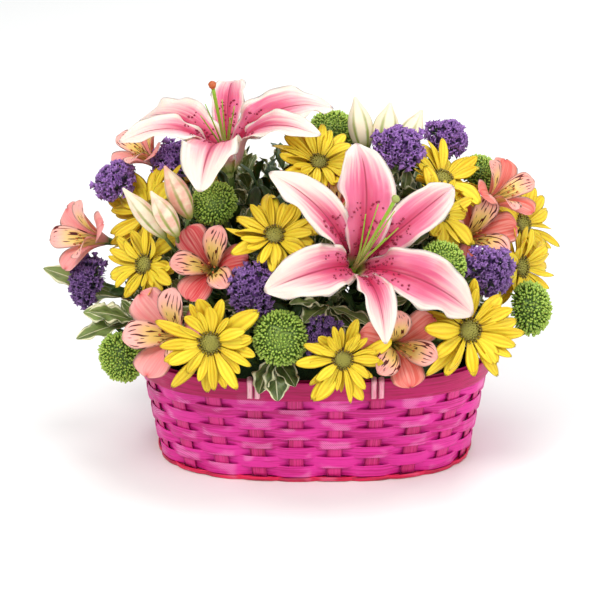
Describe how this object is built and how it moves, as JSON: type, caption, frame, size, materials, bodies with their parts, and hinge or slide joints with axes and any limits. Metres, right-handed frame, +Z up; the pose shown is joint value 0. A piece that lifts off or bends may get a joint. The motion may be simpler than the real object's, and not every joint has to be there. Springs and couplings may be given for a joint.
{
  "type": "flower basket arrangement",
  "caption": "An oval woven pink basket filled with a low all-round arrangement of pink lilies, yellow daisies, green button chrysanthemums, purple statice and coral alstroemerias",
  "frame": {"origin": "middle of the foot's underside, on the surface the basket stands on", "axes": "-Y is the front of the arrangement, +X its right-hand end seen from the front, +Z up"},
  "size_m": [0.3654, 0.283, 0.2873],
  "materials": {
    "wicker": "dyed split bamboo, satin",
    "wicker_dark": "dyed split bamboo, darker",
    "liner": "thin dark green tray",
    "foam": "wet floral foam, matt",
    "lily_petal": "natural petal, cream margin, pink to crimson middle, satin",
    "lily_green": "natural green stem, satin",
    "lily_bud": "natural bud, cream, satin",
    "daisy": "natural petal, yellow, matt",
    "button": "natural florets, green, matt",
    "statice": "natural papery florets, matt",
    "alstroemeria": "natural petal, coral and yellow, satin",
    "foliage": "natural leaf, green with cream edge, satin"
  },
  "bodies": {
    "root": {"weaver_1": "wicker", "weaver_2": "wicker", "weaver_3": "wicker", "weaver_4": "wicker", "weaver_5": "wicker", "weaver_6": "wicker", "weaver_7": "wicker", "weaver_8": "wicker", "rim_band_outer": "wicker", "base_and_stakes": "wicker_dark", "rim_band_inner_and_ties": "wicker_dark", "liner": "liner", "foam_block": "foam", "daisy_upper_left_of_lily": "daisy", "daisy_front_left": "daisy", "daisy_front_middle": "daisy", "daisy_front_right": "daisy", "daisy_pair_left": "daisy", "daisy_top": "daisy", "daisy_pair_upper_right": "daisy", "daisy_pair_right": "daisy", "daisy_pair_back_left": "daisy", "daisy_pair_back_right": "daisy", "button_upper_left": "button", "button_top": "button", "button_front": "button", "button_lower_left": "button", "button_right_of_lily": "button", "button_right": "button", "button_upper_right": "button", "button_back": "button", "statice_pair_upper_left": "statice", "statice_left": "statice", "statice_front_left": "statice", "statice_front": "statice", "statice_top": "statice", "statice_upper_right": "statice", "statice_right": "statice", "statice_back_left": "statice", "statice_back_right": "statice", "alstroemeria_left": "alstroemeria", "alstroemeria_coral_left": "alstroemeria", "alstroemeria_front_left": "alstroemeria", "alstroemeria_front_right": "alstroemeria", "alstroemeria_pair_right": "alstroemeria", "alstroemeria_upper_left": "alstroemeria", "alstroemeria_behind_lily": "alstroemeria", "alstroemeria_back": "alstroemeria", "lily_front_petals": "lily_petal", "lily_top_petals": "lily_petal", "lily_front_stem": "lily_green", "lily_top_stem": "lily_green", "lily_buds_left": "lily_bud", "lily_buds_right": "lily_bud", "foliage_left": "foliage", "foliage_front": "foliage", "foliage_middle": "foliage", "foliage_left_edge": "foliage", "foliage_back": "foliage"}
  },
  "joints": []
}
